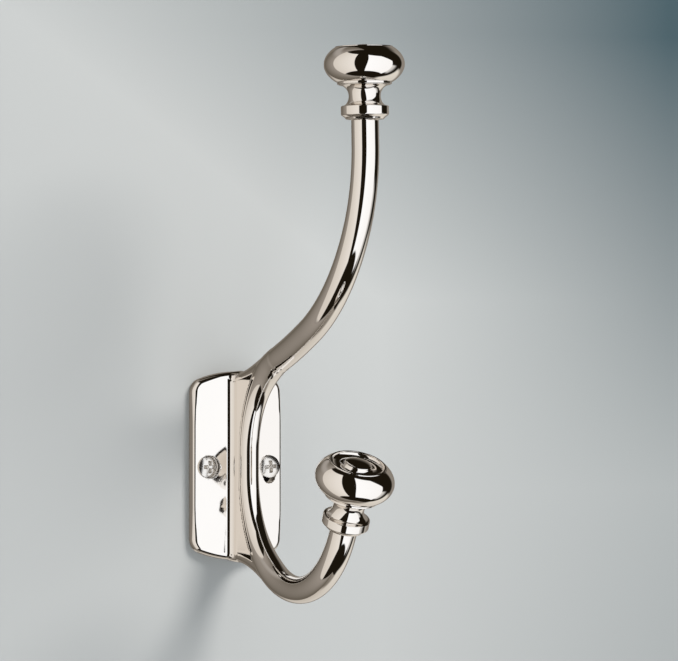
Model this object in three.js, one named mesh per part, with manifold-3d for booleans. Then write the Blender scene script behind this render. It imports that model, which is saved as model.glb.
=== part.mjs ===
// Double robe hook in polished nickel on brass: a chunky arched back plate with two countersunk
// screws, a long upper arm and an upturned lower arm, each ending in a turned collar and knob.
//
// Frame: millimetres, +Z up. The wall is the plane y = 0 and the hook stands out of it along -Y.
// The origin is the centre of the plate's flat back. In the side view, "reach" is the distance
// out of the wall (-Y) and "height" is Z; headings are degrees up from straight out.

import * as THREE from 'three';
import { mergeVertices } from 'three/addons/utils/BufferGeometryUtils.js';
import Module from 'manifold-3d';

const wasm = await Module();
wasm.setup();

// ---- Driving dimensions ---------------------------------------------------------------------

// Clearance left between neighbouring pieces.
const GAP = 0.3;

// Back plate: arched top and bottom, and two front faces that rise towards the middle.
const PLATE_WIDTH = 35.4;
const PLATE_HEIGHT = 68;
const PLATE_EDGE_THICKNESS = 3.7;
const PLATE_FACE_TILT = 13.5;
const PLATE_ARCH_RADIUS = 40;
const PLATE_CORNER_RADIUS = 3;
const PLATE_EDGE_CHAMFER = 1;

// Upright web between the plate and the arms.
const WEB_THICKNESS = 6.6;

// Spine: the upright bar at the front of the web, which bends out into both arms. It stands a
// little proud of the web's flanks as a bead.
const SPINE_REACH = 13.35;
const SPINE_BEAD = 0.15;

// Arms: round bars that grow out of the web, thickening with their reach.
const ARM_RADIUS = 4.85;
const SWELL_START_REACH = 11;
const ARM_SWELL_END_REACH = 43;
const SPINE_SWELL_END_REACH = 33;
const ROOT_START_REACH = 4;
const UPPER_ROOT_INSET = 4.8;
const UPPER_ROOT_HEADING = 11.5;
const UPPER_ROOT_TURN = 13.5;
const UPPER_ROOT_BEND = 263;
const UPPER_JOIN_DISTANCE = 35;
const UPPER_SWEEP_TURN = 36.5;
const UPPER_SWEEP_BEND = 80;
const UPPER_TIP_TURN = 30.3;
const UPPER_TIP_BEND = 61;
const UPPER_TIP_STRAIGHT = 8.8;
const LOWER_ROOT_INSET = 3.1;
const BOWL_RISE = 27.7;
const BOWL_BEND = 40.3;
const BOWL_TURN = 154.4;
const LOWER_JOIN_HEADING = -24;

// Finials: a turned collar and a knob on each arm, held by a threaded stud.
const COLLAR_SEAT_RADIUS = 6.7;
const COLLAR_BAND_RADIUS = 8.4;
const COLLAR_BAND_BOTTOM = 1.5;
const COLLAR_BAND_TOP = 4.6;
const NECK_RADIUS = 5.6;
const NECK_RISE = 3.6;
const NECK_FLARE = 3.8;
const COLLAR_TOP_RADIUS = 9.1;
const KNOB_FLANGE_RADIUS = 9.6;
const KNOB_FLANGE_THICKNESS = 1.1;
const KNOB_RADIUS = 14.25;
const KNOB_HALF_HEIGHT = 8.7;
const KNOB_MIDDLE_RISE = 7;
const KNOB_RIM_RADIUS = 10.2;
const KNOB_DISH_RADIUS = 9.3;
const KNOB_DISH_DEPTH = 1.8;
const KNOB_BUTTON_RADIUS = 5;
const KNOB_BUTTON_RISE = 1;
const STUD_RADIUS = 2.5;
const STUD_IN_ARM = 9;
const STUD_IN_KNOB = 8;
const STUD_CHAMFER = 0.6;

// Fasteners: two oval-head wood screws, driven straight into wall plugs.
const SCREW_INSET = 5.5;
const SCREW_HEIGHT = -0.4;
const SCREW_HEAD_RADIUS = 4.05;
const SCREW_HEAD_CROWN = 1.3;
const SCREW_HEAD_EDGE = 0.25;
const SCREW_SHANK_RADIUS = 2.1;
const SCREW_LENGTH = 32;
const SCREW_POINT_LENGTH = 4;
const SCREW_POINT_RADIUS = 0.4;
const SCREW_CONE_ANGLE = 41;
const SCREW_RECESS_SPAN = 4.4;
const SCREW_RECESS_WIDTH = 1;
const SCREW_RECESS_DEPTH = 1.7;
const COUNTERSINK_CLEARANCE = 0.5;
const SHANK_CLEARANCE = 0.1;
const CONE_CLEARANCE = 0.02;
const THREAD_CLEARANCE = 0.05;
const RIGHT_SCREW_TWIST = 5;
const SLOT_WIDTH = 5.5;
const SLOT_DROP = 3.2;
const PLUG_SINK = 2.5;
const PLUG_WALL = 0.9;
const PLUG_LENGTH = 26;

// Fineness of the faceted surfaces.
const BAR_SIDES = 20;
const BAR_STEP = 3.5;
const TURNED_SIDES = 28;
const SMALL_SIDES = 20;

// Where one bar ends inside another, its end is drawn in by this share over this length.
const TUCK_SHARE = 0.12;
const TUCK_LENGTH = 10;

// ---- Worked-out sizes -----------------------------------------------------------------------

const rad = THREE.MathUtils.degToRad;
const ARCH_CENTRE = PLATE_HEIGHT / 2 - PLATE_ARCH_RADIUS;
const plateFaceReach = (x) =>
  PLATE_EDGE_THICKNESS + (PLATE_WIDTH / 2 - Math.abs(x)) * Math.tan(rad(PLATE_FACE_TILT));
const SPINE_RADIUS = WEB_THICKNESS / 2 + SPINE_BEAD;
const UPPER_ROOT_HEIGHT = PLATE_HEIGHT / 2 - UPPER_ROOT_INSET;
const LOWER_ROOT_HEIGHT = LOWER_ROOT_INSET - PLATE_HEIGHT / 2;
const BOWL_HEIGHT = LOWER_ROOT_HEIGHT + BOWL_RISE;
const NECK_HEIGHT = COLLAR_BAND_TOP + NECK_RISE;
const COLLAR_TOP = NECK_HEIGHT + NECK_FLARE;
const SCREW_OFFSET = PLATE_WIDTH / 2 - SCREW_INSET;
const SCREW_HOLE_RADIUS = SCREW_SHANK_RADIUS + GAP + SHANK_CLEARANCE;
const COUNTERSINK_RADIUS = SCREW_HEAD_RADIUS + COUNTERSINK_CLEARANCE;
const CONE_SLOPE = Math.tan(rad(SCREW_CONE_ANGLE));
// The face rises across the countersink, so its cut runs on this far outwards.
const COUNTERSINK_LIFT = 2 * COUNTERSINK_RADIUS * Math.tan(rad(PLATE_FACE_TILT));
const CONE_GAP = GAP / Math.cos(rad(SCREW_CONE_ANGLE)) + CONE_CLEARANCE;
const SCREW_SEAT_DEPTH = (COUNTERSINK_RADIUS - SCREW_HEAD_RADIUS - CONE_GAP) / CONE_SLOPE;
const SCREW_CONE_LENGTH = (SCREW_HEAD_RADIUS - SCREW_SHANK_RADIUS) / CONE_SLOPE;
const STUD_BORE_RADIUS = STUD_RADIUS + GAP;
const PLUG_BORE_RADIUS = SCREW_SHANK_RADIUS + GAP + THREAD_CLEARANCE;
const PLUG_RADIUS = PLUG_BORE_RADIUS + PLUG_WALL;
const KNOB_BOTTOM = COLLAR_TOP + GAP;
const KNOB_MIDDLE = KNOB_BOTTOM + KNOB_MIDDLE_RISE;
const KNOB_RIM_HEIGHT =
  KNOB_MIDDLE + KNOB_HALF_HEIGHT * Math.sqrt(1 - (KNOB_RIM_RADIUS / KNOB_RADIUS) ** 2);

// ---- Solids ---------------------------------------------------------------------------------

function solidOf(geometry) {
  const bare = geometry.index ? geometry.toNonIndexed() : geometry.clone();
  bare.deleteAttribute('normal');
  bare.deleteAttribute('uv');
  const merged = mergeVertices(bare, 1e-4);
  const mesh = new wasm.Mesh({
    numProp: 3,
    vertProperties: merged.attributes.position.array,
    triVerts: new Uint32Array(merged.index.array),
  });
  return new wasm.Manifold(mesh);
}

function geometryOf(solid) {
  const mesh = solid.getMesh();
  const geometry = new THREE.BufferGeometry();
  geometry.setAttribute('position', new THREE.BufferAttribute(mesh.vertProperties, 3));
  geometry.setIndex(new THREE.BufferAttribute(mesh.triVerts, 1));
  geometry.computeVertexNormals();
  return geometry;
}

// A turned shape about +Z. The profile is a list of [radius, height], bottom to top.
function turned(profile, sides) {
  const points = profile.map(([radius, height]) => new THREE.Vector2(radius, height));
  return new THREE.LatheGeometry(points, sides).rotateX(Math.PI / 2);
}

// A plain round rod about +Z between two heights.
function rod(radius, bottom, top, sides) {
  return new THREE.CylinderGeometry(radius, radius, top - bottom, sides)
    .rotateX(Math.PI / 2)
    .translate(0, 0, (top + bottom) / 2);
}

// A profile's arc of an ellipse about (0, centre), from one height angle to another.
function ellipseArc(radius, halfHeight, centre, from, to, steps) {
  const points = [];
  for (let i = 0; i <= steps; i += 1) {
    const angle = THREE.MathUtils.lerp(from, to, i / steps);
    points.push([radius * Math.cos(angle), centre + halfHeight * Math.sin(angle)]);
  }
  return points;
}

// ---- Bent bars ------------------------------------------------------------------------------

// A bar's axis in the plane x = 0: a chain of straights and arcs, each running smoothly on from
// the last. A piece is { length, turn }, with its turn in degrees, positive upwards.
class BarAxis extends THREE.Curve {
  constructor(reach, height, heading, pieces) {
    super();
    this.reach = reach;
    this.height = height;
    this.heading = rad(heading);
    this.pieces = pieces.map(({ length, turn }) => ({ length, turn: rad(turn) }));
    this.total = pieces.reduce((sum, piece) => sum + piece.length, 0);
    this.arcLengthDivisions = 400;
  }

  // Reach, height and heading at a distance along the axis.
  stateAt(distance) {
    let { reach, height, heading } = this;
    let left = distance;
    for (const { length, turn } of this.pieces) {
      const run = Math.min(left, length);
      const turned = (turn * run) / length;
      const chord = turned === 0 ? run : (2 * run * Math.sin(turned / 2)) / turned;
      reach += chord * Math.cos(heading + turned / 2);
      height += chord * Math.sin(heading + turned / 2);
      heading += turned;
      left -= run;
      if (left <= 0) break;
    }
    return { reach, height, heading };
  }

  getPoint(t, target = new THREE.Vector3()) {
    const { reach, height } = this.stateAt(t * this.total);
    return target.set(0, -reach, height);
  }
}

const straight = (length) => ({ length, turn: 0 });
const bend = (radius, turn) => ({ length: Math.abs(rad(turn)) * radius, turn });

// Bar radius at a reach: the spine's near the wall, swelling smoothly to the arm's.
const radiusAtReach = (reach, swellEnd) => THREE.MathUtils.lerp(
  SPINE_RADIUS,
  ARM_RADIUS,
  THREE.MathUtils.smoothstep(reach, SWELL_START_REACH, swellEnd),
);

// A round bar along an axis: an even sweep whose rings are then brought to their own radius.
// The hidden end is the distance along the axis at which the bar ends inside another one.
function bar(axis, swellEnd, hiddenEnd = Infinity) {
  const steps = Math.ceil(axis.total / BAR_STEP);
  const section = new THREE.Shape();
  for (let i = 0; i < BAR_SIDES; i += 1) {
    const angle = (2 * Math.PI * i) / BAR_SIDES;
    const corner = [ARM_RADIUS * Math.cos(angle), ARM_RADIUS * Math.sin(angle)];
    if (i === 0) section.moveTo(...corner);
    else section.lineTo(...corner);
  }
  section.closePath();
  const geometry = new THREE.ExtrudeGeometry(section, { steps, extrudePath: axis });
  const centres = axis.getSpacedPoints(steps);
  const positions = geometry.attributes.position;
  const vertex = new THREE.Vector3();
  for (let i = 0; i < positions.count; i += 1) {
    vertex.fromBufferAttribute(positions, i);
    const distances = centres.map((centre) => centre.distanceToSquared(vertex));
    const ring = distances.indexOf(Math.min(...distances));
    const centre = centres[ring];
    const toEnd = Math.abs((ring / steps) * axis.total - hiddenEnd);
    const tuck = TUCK_SHARE * (1 - THREE.MathUtils.smoothstep(toEnd, 0, TUCK_LENGTH));
    const radius = radiusAtReach(-centre.y, swellEnd) * (1 - tuck);
    vertex.sub(centre).multiplyScalar(radius / ARM_RADIUS).add(centre);
    positions.setXYZ(i, vertex.x, vertex.y, vertex.z);
  }
  return solidOf(geometry);
}

const upperArmAxis = new BarAxis(ROOT_START_REACH, UPPER_ROOT_HEIGHT, UPPER_ROOT_HEADING, [
  bend(UPPER_ROOT_BEND, UPPER_ROOT_TURN),
  bend(UPPER_SWEEP_BEND, UPPER_SWEEP_TURN),
  bend(UPPER_TIP_BEND, UPPER_TIP_TURN),
  straight(UPPER_TIP_STRAIGHT),
]);

// The spine and the lower arm are one bar. It leaves the upper arm tangentially at the join, bends
// down into the upright, and ends in the round bowl. The first bend's radius follows from the join.
const upperJoin = upperArmAxis.stateAt(UPPER_JOIN_DISTANCE);
const joinHeading = THREE.MathUtils.radToDeg(upperJoin.heading);
const SPINE_BEND = (upperJoin.reach - SPINE_REACH) / (1 - Math.sin(upperJoin.heading));
const SPINE_BEND_HEIGHT = upperJoin.height - SPINE_BEND * Math.cos(upperJoin.heading);
const spineAxis = new BarAxis(upperJoin.reach, upperJoin.height, 180 + joinHeading, [
  bend(SPINE_BEND, 90 - joinHeading),
  straight(SPINE_BEND_HEIGHT - BOWL_HEIGHT),
  bend(BOWL_BEND, BOWL_TURN),
]);

// The lower root is the one arc from the plate that runs tangentially into the bowl.
const UNUSED_TURN = BOWL_TURN - 90 - LOWER_JOIN_HEADING;
const LOWER_JOIN_DISTANCE = spineAxis.total - bend(BOWL_BEND, UNUSED_TURN).length;
const lowerJoin = spineAxis.stateAt(LOWER_JOIN_DISTANCE);
const rootRise = lowerJoin.height - LOWER_ROOT_HEIGHT;
const rootReach = lowerJoin.reach - ROOT_START_REACH;
const rootSlope = THREE.MathUtils.radToDeg(Math.atan2(rootRise, rootReach));
const rootTurn = 2 * (LOWER_JOIN_HEADING - rootSlope);
const rootBend = Math.hypot(rootRise, rootReach) / (2 * Math.sin(rad(Math.abs(rootTurn)) / 2));
const lowerRootAxis = new BarAxis(
  ROOT_START_REACH, LOWER_ROOT_HEIGHT, LOWER_JOIN_HEADING - rootTurn, [bend(rootBend, rootTurn)]);

// The frame at an arm's end: a group whose +Z runs on out of the bar.
function armEnd(axis) {
  const { reach, height, heading } = axis.stateAt(axis.total);
  const group = new THREE.Group();
  group.position.set(0, -reach, height);
  group.rotation.x = Math.PI / 2 - heading;
  return group;
}

// ---- Hook body ------------------------------------------------------------------------------

// The plate's arched outline with round corners, in x and z.
function plateOutline() {
  const corner = PLATE_CORNER_RADIUS;
  const cornerX = PLATE_WIDTH / 2 - corner;
  const cornerZ = ARCH_CENTRE + Math.sqrt((PLATE_ARCH_RADIUS - corner) ** 2 - cornerX ** 2);
  const lean = Math.atan2(cornerZ - ARCH_CENTRE, cornerX);
  const outline = new THREE.Shape();
  outline.moveTo(PLATE_WIDTH / 2, -cornerZ);
  outline.absarc(cornerX, cornerZ, corner, 0, lean, false);
  outline.absarc(0, ARCH_CENTRE, PLATE_ARCH_RADIUS, lean, Math.PI - lean, false);
  outline.absarc(-cornerX, cornerZ, corner, Math.PI - lean, Math.PI, false);
  outline.absarc(-cornerX, -cornerZ, corner, Math.PI, Math.PI + lean, false);
  outline.absarc(0, -ARCH_CENTRE, PLATE_ARCH_RADIUS, Math.PI + lean, 2 * Math.PI - lean, false);
  outline.absarc(cornerX, -cornerZ, corner, 2 * Math.PI - lean, 2 * Math.PI, false);
  return outline;
}

// The plate: the arched outline cut back by the two inclined front faces and a front chamfer.
function makePlate() {
  const half = PLATE_WIDTH / 2;
  const shoulder = half - PLATE_EDGE_CHAMFER;
  const roof = new THREE.Shape();
  roof.moveTo(-half, 0);
  roof.lineTo(half, 0);
  roof.lineTo(half, PLATE_EDGE_CHAMFER - PLATE_EDGE_THICKNESS);
  roof.lineTo(shoulder, -plateFaceReach(shoulder));
  roof.lineTo(0, -plateFaceReach(0));
  roof.lineTo(-shoulder, -plateFaceReach(shoulder));
  roof.lineTo(-half, PLATE_EDGE_CHAMFER - PLATE_EDGE_THICKNESS);
  const prism = new THREE.ExtrudeGeometry(roof, { depth: PLATE_HEIGHT, bevelEnabled: false });
  const settings = { depth: plateFaceReach(0) + GAP, bevelEnabled: false, curveSegments: 8 };
  const slab = new THREE.ExtrudeGeometry(plateOutline(), settings).rotateX(Math.PI / 2);
  return solidOf(slab).intersect(solidOf(prism.translate(0, 0, -PLATE_HEIGHT / 2)));
}

// The web: flat flanks between the plate, the two arm roots and the spine.
function makeWeb() {
  const outline = new THREE.Shape();
  const corner = ({ reach, height }) => outline.lineTo(reach, height);
  const steps = Math.ceil(LOWER_JOIN_DISTANCE / BAR_STEP);
  outline.moveTo(ROOT_START_REACH / 2, LOWER_ROOT_HEIGHT);
  for (let i = 0; i <= steps; i += 1) corner(lowerRootAxis.stateAt((lowerRootAxis.total * i) / steps));
  for (let i = steps - 1; i >= 0; i -= 1) corner(spineAxis.stateAt((LOWER_JOIN_DISTANCE * i) / steps));
  for (let i = steps - 1; i >= 0; i -= 1) corner(upperArmAxis.stateAt((UPPER_JOIN_DISTANCE * i) / steps));
  outline.lineTo(ROOT_START_REACH / 2, UPPER_ROOT_HEIGHT);
  const settings = { depth: WEB_THICKNESS, bevelEnabled: false };
  const slab = new THREE.ExtrudeGeometry(outline, settings).translate(0, 0, -WEB_THICKNESS / 2);
  // Local x, y and z become reach, height and width.
  const turn = new THREE.Matrix4().makeBasis(
    new THREE.Vector3(0, -1, 0),
    new THREE.Vector3(0, 0, 1),
    new THREE.Vector3(-1, 0, 0),
  );
  return solidOf(slab.applyMatrix4(turn));
}

// A solid made in a group's own frame, brought into the part's frame.
function solidIn(group, solid) {
  group.updateWorldMatrix(true, false);
  return solid.transform(group.matrixWorld.elements);
}

// ---- Fasteners ------------------------------------------------------------------------------

// The frame of a screw: +Z is straight out of the wall, and its origin is on the plate's face.
function screwFrame(side, twist) {
  const outer = new THREE.Group();
  outer.position.set(side * SCREW_OFFSET, -plateFaceReach(SCREW_OFFSET), SCREW_HEIGHT);
  const inner = new THREE.Group();
  inner.rotation.x = Math.PI / 2;
  const spun = new THREE.Group();
  spun.rotation.z = rad(twist);
  spun.position.z = -SCREW_SEAT_DEPTH;
  outer.add(inner);
  inner.add(spun);
  return { outer, seat: inner, screw: spun };
}

// The countersunk hole in the plate, about its own axis from its face.
function countersunkHole() {
  const depth = plateFaceReach(0) * 2;
  const coneDepth = (COUNTERSINK_RADIUS - SCREW_HOLE_RADIUS) / CONE_SLOPE;
  return turned([
    [0, -depth],
    [SCREW_HOLE_RADIUS, -depth],
    [SCREW_HOLE_RADIUS, -coneDepth],
    [COUNTERSINK_RADIUS, 0],
    [COUNTERSINK_RADIUS, COUNTERSINK_LIFT],
    [0, COUNTERSINK_LIFT],
  ], SMALL_SIDES);
}

// The slot below the right hole, which lets the plate be levelled.
function levellingSlot() {
  const depth = plateFaceReach(0) * 2;
  const lift = COUNTERSINK_LIFT;
  const end = rod(SLOT_WIDTH / 2, -depth, lift, SMALL_SIDES).translate(0, -SLOT_DROP, 0);
  const run = new THREE.BoxGeometry(SLOT_WIDTH, SLOT_DROP, depth + lift);
  return solidOf(end).add(solidOf(run.translate(0, -SLOT_DROP / 2, (lift - depth) / 2)));
}

// An oval-head screw; z = 0 is the plane of its head's widest ring.
function makeScrew() {
  const crownRadius = (SCREW_HEAD_RADIUS ** 2 + SCREW_HEAD_CROWN ** 2) / (2 * SCREW_HEAD_CROWN);
  const crownTop = SCREW_HEAD_EDGE + SCREW_HEAD_CROWN;
  const crownSteps = 5;
  const profile = [
    [0, -SCREW_LENGTH],
    [SCREW_POINT_RADIUS, -SCREW_LENGTH],
    [SCREW_SHANK_RADIUS, -SCREW_LENGTH + SCREW_POINT_LENGTH],
    [SCREW_SHANK_RADIUS, -SCREW_CONE_LENGTH],
    [SCREW_HEAD_RADIUS, 0],
  ];
  for (let i = 0; i <= crownSteps; i += 1) {
    const radius = SCREW_HEAD_RADIUS * (1 - i / crownSteps);
    const drop = crownRadius - Math.sqrt(crownRadius ** 2 - radius ** 2);
    profile.push([radius, crownTop - drop]);
  }
  const body = solidOf(turned(profile, SMALL_SIDES));
  const slot = new THREE.BoxGeometry(SCREW_RECESS_SPAN, SCREW_RECESS_WIDTH, 2 * SCREW_RECESS_DEPTH);
  slot.translate(0, 0, crownTop);
  const cross = solidOf(slot).add(solidOf(slot.clone().rotateZ(Math.PI / 2)));
  return geometryOf(body.subtract(cross));
}

// A plain wall plug about the screw's axis, sunk a little into the wall behind the plate.
function makePlug(seatToWall) {
  const start = -seatToWall - PLUG_SINK;
  const end = start - PLUG_LENGTH;
  return turned([
    [PLUG_BORE_RADIUS, end],
    [PLUG_RADIUS, end],
    [PLUG_RADIUS, start],
    [PLUG_BORE_RADIUS, start],
    [PLUG_BORE_RADIUS, end],
  ], SMALL_SIDES);
}

// ---- Finials --------------------------------------------------------------------------------

// Collar: seat ring, band and waisted neck, bored for the stud.
function makeCollar() {
  const flare = NECK_HEIGHT - COLLAR_BAND_TOP;
  const outside = [
    [COLLAR_SEAT_RADIUS, GAP],
    [COLLAR_SEAT_RADIUS + GAP, COLLAR_BAND_BOTTOM / 2],
    [COLLAR_BAND_RADIUS, COLLAR_BAND_BOTTOM],
    [COLLAR_BAND_RADIUS, COLLAR_BAND_TOP],
  ];
  const waistSteps = 4;
  for (let i = 1; i <= waistSteps; i += 1) {
    const angle = (Math.PI / 2) * (i / waistSteps);
    const radius = COLLAR_BAND_RADIUS - (COLLAR_BAND_RADIUS - NECK_RADIUS) * Math.sin(angle);
    outside.push([radius, COLLAR_BAND_TOP + flare * (1 - Math.cos(angle))]);
  }
  for (let i = 1; i <= waistSteps; i += 1) {
    const angle = (Math.PI / 2) * (i / waistSteps);
    const radius = NECK_RADIUS + (COLLAR_TOP_RADIUS - NECK_RADIUS) * (1 - Math.cos(angle));
    outside.push([radius, NECK_HEIGHT + (COLLAR_TOP - NECK_HEIGHT) * Math.sin(angle)]);
  }
  return turned([
    [STUD_BORE_RADIUS, GAP],
    ...outside,
    [STUD_BORE_RADIUS, COLLAR_TOP],
    [STUD_BORE_RADIUS, GAP],
  ], TURNED_SIDES);
}

// Knob: flange, squashed ball, dished top and a domed button, with a blind bore for the stud.
function makeKnob() {
  const flangeTop = KNOB_BOTTOM + KNOB_FLANGE_THICKNESS;
  const heightAngle = (radius) => Math.acos(radius / KNOB_RADIUS);
  const from = -heightAngle(KNOB_FLANGE_RADIUS);
  const to = heightAngle(KNOB_RIM_RADIUS);
  const dishSteps = 5;
  const dish = [];
  for (let i = 0; i <= dishSteps; i += 1) {
    const share = i / dishSteps;
    const radius = THREE.MathUtils.lerp(KNOB_DISH_RADIUS, KNOB_BUTTON_RADIUS, share);
    dish.push([radius, KNOB_RIM_HEIGHT - KNOB_DISH_DEPTH * Math.sin(Math.PI * share)]);
  }
  const button = ellipseArc(
    KNOB_BUTTON_RADIUS, KNOB_BUTTON_RISE, KNOB_RIM_HEIGHT, Math.PI / 8, Math.PI / 2, 4);
  const boreTop = KNOB_BOTTOM + STUD_IN_KNOB + GAP;
  return turned([
    [0, boreTop],
    [STUD_BORE_RADIUS, boreTop],
    [STUD_BORE_RADIUS, KNOB_BOTTOM],
    [KNOB_FLANGE_RADIUS, KNOB_BOTTOM],
    [KNOB_FLANGE_RADIUS, flangeTop],
    ...ellipseArc(KNOB_RADIUS, KNOB_HALF_HEIGHT, KNOB_MIDDLE, from, to, 9),
    ...dish,
    ...button.slice(0, -1),
    [0, KNOB_RIM_HEIGHT + KNOB_BUTTON_RISE],
  ], TURNED_SIDES);
}

// Stud: a plain rod with chamfered ends, from inside the arm to inside the knob.
function makeStud() {
  const bottom = -STUD_IN_ARM;
  const top = KNOB_BOTTOM + STUD_IN_KNOB;
  return turned([
    [0, bottom],
    [STUD_RADIUS - STUD_CHAMFER, bottom],
    [STUD_RADIUS, bottom + STUD_CHAMFER],
    [STUD_RADIUS, top - STUD_CHAMFER],
    [STUD_RADIUS - STUD_CHAMFER, top],
    [0, top],
  ], SMALL_SIDES);
}

// ---- Assembly -------------------------------------------------------------------------------

const nickel = () => new THREE.MeshStandardMaterial({ color: 0xd8cfc4, roughness: 0.06, metalness: 1 });
const steel = () => new THREE.MeshStandardMaterial({ color: 0xb9b4ab, roughness: 0.3, metalness: 1 });
const nylon = () => new THREE.MeshStandardMaterial({ color: 0xc9c6bd, roughness: 0.6, metalness: 0 });

function named(name, geometry, material) {
  const mesh = new THREE.Mesh(geometry, material);
  mesh.name = name;
  return mesh;
}

const hook = new THREE.Group();

const upperEnd = armEnd(upperArmAxis);
const lowerEnd = armEnd(spineAxis);
const screws = {
  left: screwFrame(-1, 0),
  right: screwFrame(1, RIGHT_SCREW_TWIST),
};

// Hook body: plate, web, spine and both arms in one casting, drilled for screws and studs.
let body = makePlate()
  .add(makeWeb())
  .add(bar(spineAxis, SPINE_SWELL_END_REACH, 0))
  .add(bar(upperArmAxis, ARM_SWELL_END_REACH))
  .add(bar(lowerRootAxis, ARM_SWELL_END_REACH, lowerRootAxis.total));
const studBore = solidOf(rod(STUD_BORE_RADIUS, -STUD_IN_ARM - GAP, GAP, SMALL_SIDES));
for (const end of [upperEnd, lowerEnd]) body = body.subtract(solidIn(end, studBore));
const screwHole = solidOf(countersunkHole());
for (const { seat } of Object.values(screws)) body = body.subtract(solidIn(seat, screwHole));
body = body.subtract(solidIn(screws.right.seat, levellingSlot()));
hook.add(named('hook_body', geometryOf(body), nickel()));

for (const [end, level] of [[upperEnd, 'upper'], [lowerEnd, 'lower']]) {
  end.add(named(`${level}_collar`, makeCollar(), nickel()));
  end.add(named(`${level}_knob`, makeKnob(), nickel()));
  end.add(named(`${level}_stud`, makeStud(), steel()));
  hook.add(end);
}

const seatToWall = plateFaceReach(SCREW_OFFSET);
for (const [side, frame] of Object.entries(screws)) {
  frame.screw.add(named(`screw_${side}`, makeScrew(), nickel()));
  frame.seat.add(named(`wall_plug_${side}`, makePlug(seatToWall), nylon()));
  hook.add(frame.outer);
}

export default hook;
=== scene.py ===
"""Looks of a polished nickel double robe hook on a wall.

Sizes are in millimetres until a mesh is stored. "Reach" is the distance out of the wall (-Y),
"height" is Z, and a heading is measured upwards from straight out of the wall.
"""

import logging
import math
from dataclasses import dataclass, field
from enum import Enum
from typing import Callable

import bpy
import numpy as np
from mathutils import Matrix, Vector


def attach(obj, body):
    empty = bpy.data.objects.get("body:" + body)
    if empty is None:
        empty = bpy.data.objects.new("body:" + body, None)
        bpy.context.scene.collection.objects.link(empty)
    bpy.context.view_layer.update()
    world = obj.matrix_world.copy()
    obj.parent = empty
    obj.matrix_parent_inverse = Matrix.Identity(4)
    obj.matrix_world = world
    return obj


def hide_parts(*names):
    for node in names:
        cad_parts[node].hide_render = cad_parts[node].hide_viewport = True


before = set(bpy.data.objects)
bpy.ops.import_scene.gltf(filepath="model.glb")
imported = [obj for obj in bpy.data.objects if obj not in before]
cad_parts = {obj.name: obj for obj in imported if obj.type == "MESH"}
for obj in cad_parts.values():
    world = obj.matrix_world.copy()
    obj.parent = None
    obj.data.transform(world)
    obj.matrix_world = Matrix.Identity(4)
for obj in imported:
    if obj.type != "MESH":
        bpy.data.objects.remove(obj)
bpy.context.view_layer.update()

log = logging.getLogger("robe_hook")

MM = 0.001
BODY = "root"


class Level(Enum):
    """Which of the two arms a piece belongs to."""

    UPPER = "upper"
    LOWER = "lower"


class Side(Enum):
    """Which side of the plate a fastener is on; the value is the sign of its X."""

    LEFT = -1
    RIGHT = 1


class Slot(Enum):
    """The record's material slots."""

    POLISHED_NICKEL = "polished_nickel"
    NICKEL_SCREW = "nickel_screw"
    ZINC_STEEL = "zinc_steel"
    NYLON = "nylon"


# ---- Small helpers --------------------------------------------------------------------------


def smoothstep(value: np.ndarray, start: float, end: float) -> np.ndarray:
    """Ease from 0 at start to 1 at end.

    Args:
        value: The numbers to ease.
        start: Where the ease begins.
        end: Where it ends.

    Returns:
        Numbers from 0 to 1.
    """
    share = np.clip((value - start) / (end - start), 0.0, 1.0)
    return share * share * (3.0 - 2.0 * share)


def round_union(a: np.ndarray, b: np.ndarray, radius: float) -> np.ndarray:
    """Join two distance fields with a concave fillet.

    Args:
        a: Distances to the first shape.
        b: Distances to the second shape.
        radius: The fillet's radius.

    Returns:
        Distances to the joined shape.
    """
    dip = np.hypot(np.maximum(radius - a, 0.0), np.maximum(radius - b, 0.0))
    return np.maximum(radius, np.minimum(a, b)) - dip


def round_common(a: np.ndarray, b: np.ndarray, radius: float | np.ndarray) -> np.ndarray:
    """Keep what two distance fields share, with a rounded edge.

    Args:
        a: Distances to the first shape.
        b: Distances to the second shape.
        radius: The edge's radius.

    Returns:
        Distances to the common shape.
    """
    swell = np.hypot(np.maximum(radius + a, 0.0), np.maximum(radius + b, 0.0))
    return np.minimum(-radius, np.maximum(a, b)) + swell


def add_node(
    tree: bpy.types.NodeTree, kind: str, inputs: dict | None = None, **settings: object
) -> bpy.types.Node:
    """Add a node, set it and wire it.

    Args:
        tree: The node tree.
        kind: The node's type name.
        inputs: Values or output sockets, by input name or index.
        **settings: The node's own properties.

    Returns:
        The new node.
    """
    node = tree.nodes.new(kind)
    for name, value in settings.items():
        setattr(node, name, value)
    for key, value in (inputs or {}).items():
        if isinstance(value, bpy.types.NodeSocket):
            tree.links.new(value, node.inputs[key])
        else:
            node.inputs[key].default_value = value
    return node


def arithmetic(
    tree: bpy.types.NodeTree, operation: str, *values: object
) -> bpy.types.NodeSocket:
    """Add a Math node.

    Args:
        tree: The node tree.
        operation: The Math node's operation.
        *values: Its inputs, as numbers or sockets.

    Returns:
        The result's socket.
    """
    return add_node(
        tree, "ShaderNodeMath", dict(enumerate(values)), operation=operation
    ).outputs[0]


def frame_along(origin: Vector, direction: Vector, twist: float = 0.0) -> Matrix:
    """Make a frame whose +Z runs along a direction and whose +X stays in the hook's cross plane.

    Args:
        origin: The frame's origin, in millimetres.
        direction: Where +Z points.
        twist: Turn about +Z, in radians.

    Returns:
        The frame as a 4x4 matrix, in millimetres.
    """
    z = direction.normalized()
    x = Vector((1.0, 0.0, 0.0))
    if abs(x.dot(z)) > 0.5:
        x = Vector((0.0, 0.0, 1.0))
    x = (x - z * x.dot(z)).normalized()
    y = z.cross(x)
    basis = Matrix((x, y, z)).transposed().to_4x4()
    return Matrix.Translation(origin) @ basis @ Matrix.Rotation(twist, 4, "Z")


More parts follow.
